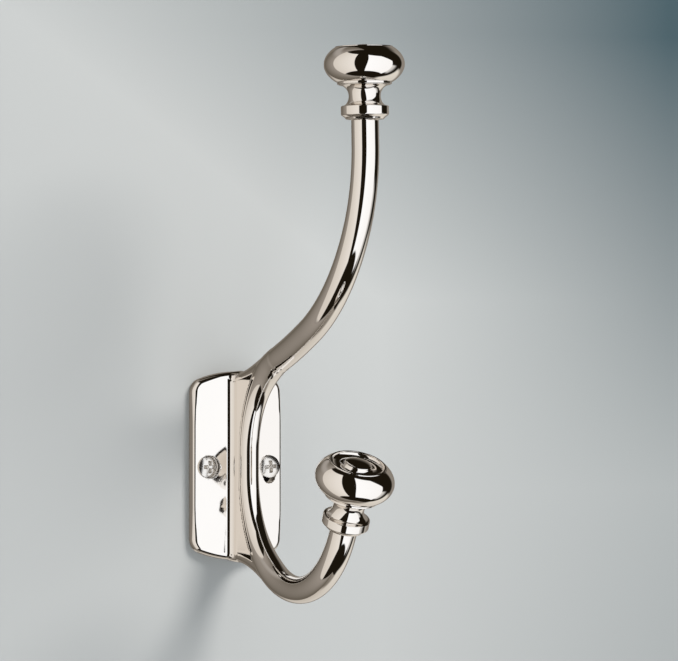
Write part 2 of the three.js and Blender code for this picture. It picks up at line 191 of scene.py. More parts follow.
def place(points: np.ndarray, matrix: Matrix) -> np.ndarray:
    """Bring points from a local frame into the hook's frame.

    Args:
        points: The points in the local frame.
        matrix: The local frame, in millimetres.

    Returns:
        The points in the hook's frame.
    """
    m = np.array(matrix)
    return points @ m[:3, :3].T + m[:3, 3]


def into_frame(
    matrix: Matrix, x: np.ndarray, y: np.ndarray, z: np.ndarray
) -> tuple[np.ndarray, ...]:
    """Bring coordinates from the hook's frame into a local frame.

    Args:
        matrix: The local frame, in millimetres.
        x: Across the hook.
        y: Into the wall.
        z: Up.

    Returns:
        The three local coordinates.
    """
    inverse = np.array(matrix.inverted())
    return tuple(
        inverse[i, 0] * x + inverse[i, 1] * y + inverse[i, 2] * z + inverse[i, 3] for i in range(3)
    )


@dataclass
class Shell:
    """A surface as plain arrays: corners in millimetres, faces and outward normals."""

    points: np.ndarray
    faces: list[tuple[int, ...]]
    normals: np.ndarray

    def placed(self, matrix: Matrix) -> "Shell":
        """The same surface in another frame."""
        turn = np.array(matrix)[:3, :3]
        return Shell(place(self.points, matrix), self.faces, self.normals @ turn.T)

    def joined(self, other: "Shell") -> "Shell":
        """This surface and another one as a single piece."""
        shift = len(self.points)
        moved = [tuple(i + shift for i in face) for face in other.faces]
        return Shell(
            np.vstack([self.points, other.points]),
            list(self.faces) + moved,
            np.vstack([self.normals, other.normals]),
        )

    def to_object(self, name: str, material: bpy.types.Material) -> bpy.types.Object:
        """Store the surface as a mesh object at the origin.

        Args:
            name: The object's name.
            material: Its finish.

        Returns:
            The new object, linked into the scene.
        """
        mesh = bpy.data.meshes.new(name)
        mesh.from_pydata((self.points * MM).tolist(), [], self.faces)
        mesh.polygons.foreach_set("use_smooth", [True] * len(mesh.polygons))
        mesh.normals_split_custom_set_from_vertices(self.normals.tolist())
        mesh.materials.append(material)
        made = bpy.data.objects.new(name, mesh)
        bpy.context.scene.collection.objects.link(made)
        return made


def finish_piece(piece: bpy.types.Object, slot: Slot, *nodes: str) -> None:
    """Tie a finished piece to the frame and report it.

    Args:
        piece: The piece, at the origin.
        slot: Its material slot.
        *nodes: The CAD nodes that it stands for.
    """
    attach(piece, BODY)
    if nodes:
        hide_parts(*nodes)
    log.info("%s: %d faces, %s", piece.name, len(piece.data.polygons), slot.value)


# ---- Surfaces from distance rules -----------------------------------------------------------

DistanceRule = Callable[[np.ndarray, np.ndarray, np.ndarray], np.ndarray]


@dataclass
class IsoSurface:
    """The closed surface on which a distance rule is zero, found on a grid and drawn onto it."""

    rule: DistanceRule
    low: tuple[float, float, float]
    high: tuple[float, float, float]
    step: float
    pulls: int = 4

    def shell(self) -> Shell:
        """Build the surface.

        Returns:
            The surface, with the rule's own slope as its normals.
        """
        axes = [np.arange(a, b + self.step, self.step) for a, b in zip(self.low, self.high)]
        values = self.rule(axes[0][:, None, None], axes[1][None, :, None], axes[2][None, None, :])
        inside = values < 0.0
        cells, index = self._cells(inside)
        points = self._start(values, cells)
        points = self._pull(points)
        return Shell(points, self._faces(inside, index), self._slope(points, unit=True))

    @staticmethod
    def _cells(inside: np.ndarray) -> tuple[np.ndarray, np.ndarray]:
        """Number the grid cells that the surface crosses.

        Args:
            inside: True at each grid point inside the shape.

        Returns:
            The crossed cells, and every cell's number or -1.
        """
        count = np.zeros([n - 1 for n in inside.shape], np.uint8)
        for i in (0, 1):
            for j in (0, 1):
                for k in (0, 1):
                    count += inside[
                        i : inside.shape[0] - 1 + i,
                        j : inside.shape[1] - 1 + j,
                        k : inside.shape[2] - 1 + k,
                    ]
        crossed = (count > 0) & (count < 8)
        index = np.full(crossed.shape, -1, np.int64)
        index[crossed] = np.arange(int(crossed.sum()))
        return np.argwhere(crossed), index

    def _start(self, values: np.ndarray, cells: np.ndarray) -> np.ndarray:
        """Put one corner in each crossed cell, at the middle of its edge crossings.

        Args:
            values: The rule at each grid point.
            cells: The crossed cells.

        Returns:
            The corners.
        """
        total = np.zeros((len(cells), 3))
        hits = np.zeros(len(cells))
        for axis in range(3):
            others = [a for a in range(3) if a != axis]
            for first in (0, 1):
                for second in (0, 1):
                    near = cells.copy()
                    near[:, others[0]] += first
                    near[:, others[1]] += second
                    far = near.copy()
                    far[:, axis] += 1
                    a = values[tuple(near.T)]
                    b = values[tuple(far.T)]
                    cut = (a < 0.0) != (b < 0.0)
                    share = np.where(cut, a / np.where(cut, a - b, 1.0), 0.0)
                    spot = near.astype(float)
                    spot[:, axis] += share
                    total[cut] += spot[cut]
                    hits[cut] += 1.0
        return np.array(self.low) + self.step * total / hits[:, None]

    def _slope(self, points: np.ndarray, unit: bool = False) -> np.ndarray:
        """Measure the rule's slope at each point.

        Args:
            points: Where to measure.
            unit: Whether to give unit vectors.

        Returns:
            One vector per point.
        """
        reach = 0.02
        slope = np.empty_like(points)
        for axis in range(3):
            ahead, behind = points.copy(), points.copy()
            ahead[:, axis] += reach
            behind[:, axis] -= reach
            slope[:, axis] = (self.rule(*ahead.T) - self.rule(*behind.T)) / (2.0 * reach)
        if unit:
            slope /= np.maximum(np.linalg.norm(slope, axis=1), 1e-9)[:, None]
        return slope

    def _pull(self, points: np.ndarray) -> np.ndarray:
        """Draw the corners onto the surface.

        Args:
            points: The starting corners.

        Returns:
            Corners on the surface.
        """
        for _ in range(self.pulls):
            slope = self._slope(points)
            steep = np.maximum((slope**2).sum(axis=1), 0.2)
            move = (self.rule(*points.T) / steep)[:, None] * slope
            length = np.linalg.norm(move, axis=1)
            limit = np.minimum(1.0, 0.5 * self.step / np.maximum(length, 1e-9))
            points = points - move * limit[:, None]
        return points

    @staticmethod
    def _faces(inside: np.ndarray, index: np.ndarray) -> list[tuple[int, ...]]:
        """Join the cells round each crossed grid edge with a four-sided face.

        Args:
            inside: True at each grid point inside the shape.
            index: Each cell's number.

        Returns:
            The faces, turned outwards.
        """
        faces = []
        for axis in range(3):
            second, third = (axis + 1) % 3, (axis + 2) % 3
            here = np.moveaxis(inside, (axis, second, third), (0, 1, 2))
            number = np.moveaxis(index, (axis, second, third), (0, 1, 2))
            start, end = here[:-1, 1:-1, 1:-1], here[1:, 1:-1, 1:-1]
            i, j, k = np.nonzero(start != end)
            corners = ((j, k), (j + 1, k), (j + 1, k + 1), (j, k + 1))
            ring = np.stack([number[i, b, c] for b, c in corners], axis=1)
            flip = ~start[i, j, k]
            ring[flip] = ring[flip][:, ::-1]
            faces.append(ring)
        return [tuple(face) for face in np.vstack(faces).tolist()]


# ---- Turned surfaces ------------------------------------------------------------------------


@dataclass
class Profile:
    """The outline of a turned piece: radius and height, run so that the solid is on its left."""

    corners: list[tuple[float, float, float]] = field(default_factory=list)

    def corner(self, radius: float, height: float, ease: float = 0.0) -> "Profile":
        """Add a corner, eased by an arc of a given radius."""
        self.corners.append((radius, height, ease))
        return self

    def sweep(
        self, centre: tuple[float, float], size: tuple[float, float], turn: tuple[float, float],
        steps: int = 28,
    ) -> "Profile":
        """Add an arc of an ellipse.

        Args:
            centre: The ellipse's centre, as radius and height.
            size: Its half sizes in radius and height.
            turn: The first and last angle, in degrees.
            steps: How many straight pieces to use.

        Returns:
            This outline.
        """
        for angle in np.radians(np.linspace(turn[0], turn[1], steps + 1)):
            radius = centre[0] + size[0] * math.cos(angle)
            self.corner(max(radius, 0.0), centre[1] + size[1] * math.sin(angle))
        return self

    def path(self) -> np.ndarray:
        """Trace the outline with its corners eased.

        Returns:
            The outline's points.
        """
        points: list[tuple[float, float]] = []
        last = len(self.corners) - 1
        for i, (radius, height, ease) in enumerate(self.corners):
            here = np.array((radius, height))
            if ease <= 0.0 or i in (0, last):
                points.append((radius, height))
                continue
            back = np.array(self.corners[i - 1][:2]) - here
            ahead = np.array(self.corners[i + 1][:2]) - here
            reach = min(ease, 0.45 * np.linalg.norm(back), 0.45 * np.linalg.norm(ahead))
            a = here + back / np.linalg.norm(back) * reach
            b = here + ahead / np.linalg.norm(ahead) * reach
            for share in np.linspace(0.0, 1.0, 7):
                spot = (1 - share) ** 2 * a + 2 * share * (1 - share) * here + share**2 * b
                points.append((float(spot[0]), float(spot[1])))
        kept = [points[0]]
        for point in points[1:]:
            if math.dist(point, kept[-1]) > 1e-4:
                kept.append(point)
        return np.array(kept)

    def shell(self, sides: int = 160) -> Shell:
        """Turn the outline about +Z.

        Args:
            sides: How many sides to give the turned surface.

        Returns:
            The closed surface.
        """
        path = self.path()
        along = np.diff(path, axis=0)
        across = np.stack([along[:, 1], -along[:, 0]], axis=1)
        lean = np.zeros_like(path)
        lean[:-1] += across
        lean[1:] += across
        closed = np.allclose(path[0], path[-1])
        if closed:
            lean[0] += across[-1]
            path, lean = path[:-1], lean[:-1]
        lean /= np.maximum(np.linalg.norm(lean, axis=1), 1e-9)[:, None]
        angles = np.linspace(0.0, 2.0 * math.pi, sides, endpoint=False)
        points: list[tuple[float, float, float]] = []
        normals: list[tuple[float, float, float]] = []
        rings: list[list[int]] = []
        for (radius, height), (out, up) in zip(path, lean):
            if radius < 1e-6:
                rings.append([len(points)] * sides)
                points.append((0.0, 0.0, height))
                normals.append((0.0, 0.0, math.copysign(1.0, up)))
                continue
            rings.append(list(range(len(points), len(points) + sides)))
            for angle in angles:
                c, s = math.cos(angle), math.sin(angle)
                points.append((radius * c, radius * s, height))
                normals.append((out * c, out * s, up))
        faces: list[tuple[int, ...]] = []
        count = len(rings) if closed else len(rings) - 1
        for i in range(count):
            low, high = rings[i], rings[(i + 1) % len(rings)]
            for j in range(sides):
                k = (j + 1) % sides
                face = tuple(dict.fromkeys((low[j], low[k], high[k], high[j])))
                if len(face) > 2:
                    faces.append(face)
        return Shell(np.array(points), faces, np.array(normals))


# ---- Geometry Nodes -------------------------------------------------------------------------


class NodeTool:
    """A Geometry Nodes tree with named sizes, whose result is kept as a plain mesh."""

    sizes: dict[str, float] = {}
    title = "Tool"

    def __init__(self) -> None:
        """Make the tree with its named inputs and build its nodes."""
        self.tree = bpy.data.node_groups.new(self.title, "GeometryNodeTree")
        for name, value in self.sizes.items():
            kind = "NodeSocketInt" if isinstance(value, int) else "NodeSocketFloat"
            socket = self.tree.interface.new_socket(name, in_out="INPUT", socket_type=kind)
            socket.default_value = value
        face = self.tree.interface
        face.new_socket("Finish", in_out="INPUT", socket_type="NodeSocketMaterial")
        face.new_socket("Geometry", in_out="OUTPUT", socket_type="NodeSocketGeometry")
        self.inputs = self.tree.nodes.new("NodeGroupInput")
        realize = add_node(
            self.tree, "GeometryNodeRealizeInstances", {"Geometry": self.body()}
        )
        smooth = add_node(
            self.tree, "GeometryNodeSetShadeSmooth", {"Geometry": realize.outputs[0]}
        )
        finish = add_node(
            self.tree,
            "GeometryNodeSetMaterial",
            {"Geometry": smooth.outputs[0], "Material": self.inputs.outputs["Finish"]},
        )
        output = self.tree.nodes.new("NodeGroupOutput")
        self.tree.links.new(finish.outputs[0], output.inputs["Geometry"])

    def size(self, name: str) -> bpy.types.NodeSocket:
        """The named input's socket inside the tree."""
        return self.inputs.outputs[name]

    def body(self) -> bpy.types.NodeSocket:
        """Build the tree's nodes and return the socket that carries the shape."""
        raise NotImplementedError

    def shell(self, matrix: Matrix, finish: bpy.types.Material, **sizes: float) -> Shell:
        """Run the tree once and keep its result.

        Args:
            matrix: Where the result goes, in millimetres.
            finish: The material that the tree sets.
            **sizes: Values by input name, with underscores for spaces.

        Returns:
            The result in the hook's frame.
        """
        holder = bpy.data.objects.new(self.title, bpy.data.meshes.new(self.title))
        bpy.context.scene.collection.objects.link(holder)
        modifier = holder.modifiers.new(self.title, "NODES")
        modifier.node_group = self.tree
        sockets = {
            item.name: item.identifier
            for item in self.tree.interface.items_tree
            if item.item_type == "SOCKET" and item.in_out == "INPUT"
        }
        modifier[sockets["Finish"]] = finish
        for name, value in sizes.items():
            modifier[sockets[name.replace("_", " ")]] = value
        holder.update_tag()
        graph = bpy.context.evaluated_depsgraph_get()
        mesh = bpy.data.meshes.new_from_object(holder.evaluated_get(graph))
        holder.modifiers.remove(modifier)
        bpy.data.objects.remove(holder)
        points = np.empty(len(mesh.vertices) * 3)
        mesh.vertices.foreach_get("co", points)
        normals = np.empty(len(mesh.vertices) * 3)
        mesh.vertices.foreach_get("normal", normals)
        faces = [tuple(polygon.vertices) for polygon in mesh.polygons]
        bpy.data.meshes.remove(mesh)
        return Shell(points.reshape(-1, 3), faces, normals.reshape(-1, 3)).placed(matrix)


class ThreadTool(NodeTool):
    """A screw thread: a ridge wound round +Z, running out to nothing at both ends."""

    title = "Screw thread"
    sizes = {"Radius": 2.0, "Turns": 8.0, "Length": 8.0, "Ridge": 0.5, "Run Out": 0.06, "Steps": 40}

    def body(self) -> bpy.types.NodeSocket:
        """Build the tree's nodes.

        Returns:
            The socket that carries the thread.
        """
        tree = self.tree
        spiral = add_node(
            tree,
            "GeometryNodeCurveSpiral",
            {
                "Resolution": self.size("Steps"),
                "Rotations": self.size("Turns"),
                "Start Radius": self.size("Radius"),
                "End Radius": self.size("Radius"),
                "Height": self.size("Length"),
            },
        )
        upright = add_node(
            tree, "GeometryNodeSetCurveNormal", {"Curve": spiral.outputs[0]}, mode="Z_UP"
        )
        place_on = add_node(tree, "GeometryNodeSplineParameter")
        factor = place_on.outputs["Factor"]
        near = arithmetic(tree, "DIVIDE", factor, self.size("Run Out"))
        rest = arithmetic(tree, "SUBTRACT", 1.0, factor)
        far = arithmetic(tree, "DIVIDE", rest, self.size("Run Out"))
        least = arithmetic(tree, "MINIMUM", near, far)
        swell = arithmetic(tree, "MINIMUM", arithmetic(tree, "MAXIMUM", least, 0.02), 1.0)
        ridge = add_node(
            tree,
            "GeometryNodeSetCurveRadius",
            {"Curve": upright.outputs[0], "Radius": swell},
        )
        section = add_node(
            tree,
            "GeometryNodeCurvePrimitiveCircle",
            {"Resolution": 4, "Radius": self.size("Ridge")},
        )
        sweep = add_node(
            tree,
            "GeometryNodeCurveToMesh",
            {"Curve": ridge.outputs[0], "Profile Curve": section.outputs[0], "Fill Caps": True},
        )
        if "Scale" in sweep.inputs:
            tree.links.new(swell, sweep.inputs["Scale"])
        return sweep.outputs[0]


class RibTool(NodeTool):
    """Even rings along +Z, as on a wall plug."""

    title = "Plug ribs"
    sizes = {"Radius": 3.0, "Count": 7, "Pitch": 3.0, "Rib": 0.4, "Sides": 40}

    def body(self) -> bpy.types.NodeSocket:
        """Build the tree's nodes.

        Returns:
            The socket that carries the ribs.
        """
        tree = self.tree
        ring = add_node(
            tree,
            "GeometryNodeCurvePrimitiveCircle",
            {"Resolution": self.size("Sides"), "Radius": self.size("Radius")},
        )
        section = add_node(
            tree,
            "GeometryNodeCurvePrimitiveCircle",
            {"Resolution": 6, "Radius": self.size("Rib")},
        )
        rib = add_node(
            tree,
            "GeometryNodeCurveToMesh",
            {"Curve": ring.outputs[0], "Profile Curve": section.outputs[0]},
        )
        offset = add_node(tree, "ShaderNodeCombineXYZ", {"Z": self.size("Pitch")})
        line = add_node(
            tree,
            "GeometryNodeMeshLine",
            {"Count": self.size("Count"), "Offset": offset.outputs[0]},
        )
        copies = add_node(
            tree,
            "GeometryNodeInstanceOnPoints",
            {"Points": line.outputs[0], "Instance": rib.outputs[0]},
        )
        return copies.outputs[0]


# ---- Finishes -------------------------------------------------------------------------------


class SurfaceMarks:
    """A shader group for faint marks: even cloudiness, fine rub marks and a slight ripple."""

    title = "Surface marks"

    @classmethod
    def tree(cls) -> bpy.types.NodeTree:
        """Give the group, made once.

        Returns:
            The shader node group.
        """
        known = bpy.data.node_groups.get(cls.title)
        if known:
            return known
        tree = bpy.data.node_groups.new(cls.title, "ShaderNodeTree")
        face = tree.interface
        face.new_socket("Place", in_out="INPUT", socket_type="NodeSocketVector")
        starts = {"Roughness": 0.1, "Cloud": 0.02, "Rub": 0.02, "Grain Size": 60.0}
        for name, value in starts.items():
            socket = face.new_socket(name, in_out="INPUT", socket_type="NodeSocketFloat")
            socket.default_value = value
        for name in ("Roughness", "Ripple", "Mask"):
            face.new_socket(name, in_out="OUTPUT", socket_type="NodeSocketFloat")
        ports = tree.nodes.new("NodeGroupInput").outputs
        cloud = add_node(
            tree,
            "ShaderNodeTexNoise",
            {"Vector": ports["Place"], "Scale": ports["Grain Size"], "Detail": 3.0},
        ).outputs[0]
        stretch = add_node(
            tree, "ShaderNodeMapping", {"Vector": ports["Place"], "Scale": (900.0, 900.0, 120.0)}
        )
        rub = add_node(
            tree, "ShaderNodeTexNoise", {"Vector": stretch.outputs[0], "Scale": 1.0, "Detail": 2.0}
        ).outputs[0]
        lines = add_node(
            tree, "ShaderNodeMapRange", {"Value": rub, "From Min": 0.62, "From Max": 0.8}
        ).outputs[0]
        haze = arithmetic(tree, "MULTIPLY", cloud, ports["Cloud"])
        marks = arithmetic(tree, "MULTIPLY", lines, ports["Rub"])
        rough = arithmetic(
            tree, "ADD", arithmetic(tree, "ADD", ports["Roughness"], haze), marks
        )
        ripple = add_node(
            tree, "ShaderNodeTexNoise", {"Vector": ports["Place"], "Scale": 140.0, "Detail": 1.0}
        ).outputs[0]
        output = tree.nodes.new("NodeGroupOutput")
        tree.links.new(rough, output.inputs["Roughness"])
        tree.links.new(ripple, output.inputs["Ripple"])
        tree.links.new(cloud, output.inputs["Mask"])
        return tree


@dataclass(frozen=True)
class Finish:
    """A procedural finish for a piece."""

    title: str
    colour: tuple[float, float, float]
    shade: tuple[float, float, float]
    metallic: float
    roughness: float
    cloud: float
    rub: float
    ripple: float

    def material(self) -> bpy.types.Material:
        """Give the finish's material, made once.

        Returns:
            The material.
        """
        known = bpy.data.materials.get(self.title)
        if known:
            return known
        made = bpy.data.materials.new(self.title)
        made.use_nodes = True
        tree = made.node_tree
        shader = tree.nodes["Principled BSDF"]
        shader.inputs["Metallic"].default_value = self.metallic
        spot = add_node(tree, "ShaderNodeTexCoord").outputs["Object"]
        marks = add_node(tree, "ShaderNodeGroup", node_tree=SurfaceMarks.tree())
        tree.links.new(spot, marks.inputs["Place"])
        marks.inputs["Roughness"].default_value = self.roughness
        marks.inputs["Cloud"].default_value = self.cloud
        marks.inputs["Rub"].default_value = self.rub
        tint = add_node(tree, "ShaderNodeMix", data_type="RGBA")
        tree.links.new(marks.outputs["Mask"], tint.inputs[0])
        tint.inputs[6].default_value = (*self.colour, 1.0)
        tint.inputs[7].default_value = (*self.shade, 1.0)
        tree.links.new(tint.outputs[2], shader.inputs["Base Color"])
        tree.links.new(marks.outputs["Roughness"], shader.inputs["Roughness"])
        bump = add_node(
            tree,
            "ShaderNodeBump",
            {"Strength": self.ripple, "Distance": 0.0001, "Height": marks.outputs["Ripple"]},
        )
        tree.links.new(bump.outputs[0], shader.inputs["Normal"])
        return made


MIRROR_NICKEL = Finish(
    "Mirror nickel", (0.86, 0.825, 0.785), (0.84, 0.805, 0.765),
    1.0, 0.02, 0.02, 0.03, 0.02,
)
BRIGHT_SCREW = Finish(
    "Bright screw nickel", (0.84, 0.81, 0.77), (0.76, 0.73, 0.69),
    1.0, 0.17, 0.08, 0.1, 0.15,
)
ZINC = Finish(
    "Zinc plate", (0.62, 0.63, 0.63), (0.5, 0.51, 0.5), 1.0, 0.28, 0.15, 0.15, 0.3
)
MOULDED_NYLON = Finish(
    "Moulded nylon", (0.62, 0.61, 0.58), (0.55, 0.54, 0.51), 0.0, 0.5, 0.12, 0.05, 0.3
)


# ---- The casting ----------------------------------------------------------------------------


@dataclass
class BentAxis:
    """A bar's axis in the plane x = 0: straights and arcs, each running smoothly on."""

    reach: float
    height: float
    heading: float
    pieces: list[tuple[float, float]]

    @staticmethod
    def bend(radius: float, turn: float) -> tuple[float, float]:
        """A bend as its length and its turn in degrees."""
        return abs(math.radians(turn)) * radius, turn

    @property
    def total(self) -> float:
        """The axis's whole length."""
        return sum(length for length, _ in self.pieces)

    def state_at(self, distance: float) -> tuple[float, float, float]:
        """Follow the axis.

        Args:
            distance: How far to go along it.

        Returns:
            Reach, height and heading (radians) there.
        """
        reach, height, heading = self.reach, self.height, math.radians(self.heading)
        left = distance
        for length, turn in self.pieces:
            run = min(left, length)
            turned = math.radians(turn) * run / length
            chord = run if turned == 0.0 else 2.0 * run * math.sin(turned / 2.0) / turned
            reach += chord * math.cos(heading + turned / 2.0)
            height += chord * math.sin(heading + turned / 2.0)
            heading += turned
            left -= run
            if left <= 0.0:
                break
        return reach, height, heading

    def nearest(self, reach: np.ndarray, height: np.ndarray) -> tuple[np.ndarray, np.ndarray]:
        """Find the axis's nearest point to each point of the plane.

        Args:
            reach: The points' reaches.
            height: Their heights.

        Returns:
            The distance to the axis, and the reach of its nearest point.
        """
        best = np.full(np.broadcast(reach, height).shape, np.inf)
        at = np.zeros_like(best)
        distance = 0.0
        for length, turn in self.pieces:
            r0, h0, heading = self.state_at(distance)
            distance += length
            if turn == 0.0:
                run = (reach - r0) * math.cos(heading) + (height - h0) * math.sin(heading)
                run = np.clip(run, 0.0, length)
                near_r = r0 + run * math.cos(heading)
                near_h = h0 + run * math.sin(heading)
            else:
                sign = math.copysign(1.0, turn)
                radius = length / abs(math.radians(turn))
                half = abs(math.radians(turn)) / 2.0
                centre_r = r0 - sign * radius * math.sin(heading)
                centre_h = h0 + sign * radius * math.cos(heading)
                first = heading - sign * math.pi / 2.0
                angle = (np.arctan2(height - centre_h, reach - centre_r) - first) * sign - half
                angle = (angle + math.pi) % (2.0 * math.pi) - math.pi
                angle = first + sign * (np.clip(angle, -half, half) + half)
                near_r = centre_r + radius * np.cos(angle)
                near_h = centre_h + radius * np.sin(angle)
            gap = np.hypot(reach - near_r, height - near_h)
            closer = gap < best
            best = np.where(closer, gap, best)
            at = np.where(closer, near_r, at)
        return best, at


@dataclass
class HookCasting:
    """The plate, web, spine and both arms in one casting, drilled for its screws and studs."""

    plate_width: float = 35.3
    plate_height: float = 68.0
    plate_edge: float = 3.7
    face_tilt: float = 13.5
    face_twist: float = 0.045
    face_twist_span: tuple[float, float] = (-34.0, 10.0)
    arch_radius: float = 40.0
    corner_radius: float = 3.0
    edge_round: float = 0.8
    edge_round_growth: float = 1.3
    edge_growth_span: tuple[float, float] = (14.0, 34.0)
    web_thickness: float = 6.6
    web_draft: float = 2.5
    web_fillet: float = 2.2
    crease: float = 0.3
    spine_reach: float = 13.35
    spine_radius: float = 3.45
    arm_radius: float = 4.85
    swell_start: float = 11.0
    arm_swell_end: float = 43.0
    spine_swell_end: float = 33.0
    bowl_height: float = -3.2
    bowl_bend: float = 40.3
    bowl_turn: float = 154.4
    lower_join_heading: float = -24.0
    upper_join: float = 35.0
    root_reach: float = 4.0
    upper_root_height: float = 29.2
    lower_root_height: float = -30.9
    upper_root_heading: float = 11.5
    upper_bends: tuple[tuple[float, float], ...] = ((263.0, 13.5), (80.0, 36.5), (61.0, 30.3))
    upper_tip_run: float = 8.8
    stud_bore: float = 2.55
    stud_depth: float = 9.2
    screw_offset: float = 12.2
    screw_height: float = -0.4
    countersink_radius: float = 4.16
    countersink_slope: float = 0.869
    screw_hole: float = 2.5
    slot_width: float = 5.5
    slot_drop: float = 3.2
    step: float = 0.45

    def __post_init__(self) -> None:
        """Lay out the three bars' axes and the web between them."""
        bend = BentAxis.bend
        bends = [bend(*sizes) for sizes in self.upper_bends]
        self.upper_axis = BentAxis(
            self.root_reach,
            self.upper_root_height,
            self.upper_root_heading,
            [*bends, (self.upper_tip_run, 0.0)],
        )
        reach, height, heading = self.upper_axis.state_at(self.upper_join)
        lean = math.degrees(heading)
        spine_bend = (reach - self.spine_reach) / (1.0 - math.sin(heading))
        upright = height - spine_bend * math.cos(heading) - self.bowl_height
        self.spine_axis = BentAxis(
            reach,
            height,
            180.0 + lean,
            [bend(spine_bend, 90.0 - lean), (upright, 0.0), bend(self.bowl_bend, self.bowl_turn)],
        )
        spare = bend(self.bowl_bend, self.bowl_turn - 90.0 - self.lower_join_heading)[0]
        self.lower_join = self.spine_axis.total - spare
        end = self.spine_axis.state_at(self.lower_join)
        rise, run = end[1] - self.lower_root_height, end[0] - self.root_reach
        turn = 2.0 * (self.lower_join_heading - math.degrees(math.atan2(rise, run)))
        radius = math.hypot(rise, run) / (2.0 * math.sin(math.radians(abs(turn)) / 2.0))
        self.lower_axis = BentAxis(
            self.root_reach,
            self.lower_root_height,
            self.lower_join_heading - turn,
            [bend(radius, turn)],
        )
        self.web_outline = self._trace_web()

    def _trace_web(self) -> np.ndarray:
        """Trace the web's outline along the three bars' axes.

        Returns:
            Its corners as reach and height.
        """
        spots = [(2.0, self.lower_axis.height)]
        spots += [self.lower_axis.state_at(self.lower_axis.total * s)[:2] for s in (0, 0.3, 0.6, 1)]
        share = np.linspace(1.0, 0.0, 19)[1:-1]
        spots += [self.spine_axis.state_at(self.lower_join * s)[:2] for s in share]
        back = (1, 0.75, 0.5, 0.25, 0)
        spots += [self.upper_axis.state_at(self.upper_join * s)[:2] for s in back]
        spots.append((2.0, self.upper_axis.height))
        return np.array(spots)

    def end_frame(self, level: Level) -> Matrix:
        """The frame at an arm's end, with +Z running on out of the bar."""
        axis = self.upper_axis if level is Level.UPPER else self.spine_axis
        reach, height, heading = axis.state_at(axis.total)
        ahead = Vector((0.0, -math.cos(heading), math.sin(heading)))
        return frame_along(Vector((0.0, -reach, height)), ahead)

    def face_reach(self, x: float) -> float:
        """The plate's front face reach at a distance from the middle."""
        rise = (self.plate_width / 2.0 - abs(x)) * math.tan(math.radians(self.face_tilt))
        return self.plate_edge + rise

    def screw_frame(self, side: Side, twist: float) -> Matrix:
        """The frame of a screw: +Z is straight out of the wall and the origin is on the face.

        Args:
            side: Which screw.
            twist: Turn of its recess, in degrees.

        Returns:
            The frame, in millimetres.
        """
        x = side.value * self.screw_offset
        origin = Vector((x, -self.face_reach(x), self.screw_height))
        return frame_along(origin, Vector((0.0, -1.0, 0.0)), math.radians(twist))

    def _plate(self, x: np.ndarray, reach: np.ndarray, z: np.ndarray) -> np.ndarray:
        """Distance to the plate.

        Args:
            x: Across the plate.
            reach: Out of the wall.
            z: Up the plate.

        Returns:
            The distances.
        """
        centre = self.plate_height / 2.0 - self.arch_radius
        top = np.hypot(x, z - centre) - self.arch_radius
        foot = np.hypot(x, z + centre) - self.arch_radius
        arch = np.maximum(top, foot)
        outline = round_common(np.abs(x) - self.plate_width / 2.0, arch, self.corner_radius)
        tilt = np.radians(self.face_tilt + self.face_twist * np.clip(z, *self.face_twist_span))
        ridge = self.plate_edge + self.plate_width / 2.0 * np.tan(tilt)
        face = (reach - ridge) * np.cos(tilt) + np.abs(x) * np.sin(tilt)
        growth = self.edge_round_growth * smoothstep(np.abs(z), *self.edge_growth_span)
        front = round_common(outline, face, self.edge_round + growth)
        return round_common(front, -reach, 0.3)

    def _bar(
        self, axis: BentAxis, swell_end: float, x: np.ndarray, reach: np.ndarray, z: np.ndarray,
        cut: bool,
    ) -> np.ndarray:
        """Distance to a round bar.

        Args:
            axis: The bar's axis.
            swell_end: The reach at which it has its full radius.
            x: Across the hook.
            reach: Out of the wall.
            z: Up.
            cut: Whether the far end is cut off square.

        Returns:
            The distances.
        """
        gap, at = axis.nearest(reach, z)
        grown = smoothstep(at, self.swell_start, swell_end)
        radius = self.spine_radius + (self.arm_radius - self.spine_radius) * grown
        bar = np.hypot(gap, x) - radius
        if cut:
            end_reach, end_height, heading = axis.state_at(axis.total)
            past = (reach - end_reach) * math.cos(heading) + (z - end_height) * math.sin(heading)
            aside = np.hypot(reach - end_reach, z - end_height) > 4.0 * self.arm_radius
            bar = np.where(aside, bar, round_common(bar, past, 0.3))
        return bar

    def _web(self, x: np.ndarray, reach: np.ndarray, z: np.ndarray) -> np.ndarray:
        """Distance to the web.

        Args:
            x: Across the hook.
            reach: Out of the wall.
            z: Up.

        Returns:
            The distances.
        """
        best = np.full(np.broadcast(reach, z).shape, np.inf)
        inside = np.zeros(best.shape, bool)
        ends = np.roll(self.web_outline, -1, axis=0)
        for (r0, h0), (r1, h1) in zip(self.web_outline, ends):
            run, rise = r1 - r0, h1 - h0
            share = ((reach - r0) * run + (z - h0) * rise) / (run * run + rise * rise)
            share = np.clip(share, 0.0, 1.0)
            gap = np.hypot(reach - r0 - share * run, z - h0 - share * rise)
            best = np.minimum(best, gap)
            crosses = (h0 > z) != (h1 > z)
            spot = r0 + (z - h0) * run / (rise if rise else 1e-9)
            inside ^= crosses & (reach < spot)
        flat = np.where(inside, -best, best)
        draft = math.radians(self.web_draft)
        spread = (self.spine_reach - np.minimum(reach, 30.0)) * math.tan(draft)
        flank = (np.abs(x) - self.web_thickness / 2.0 - spread) * math.cos(draft)
        return np.maximum(flank, flat)

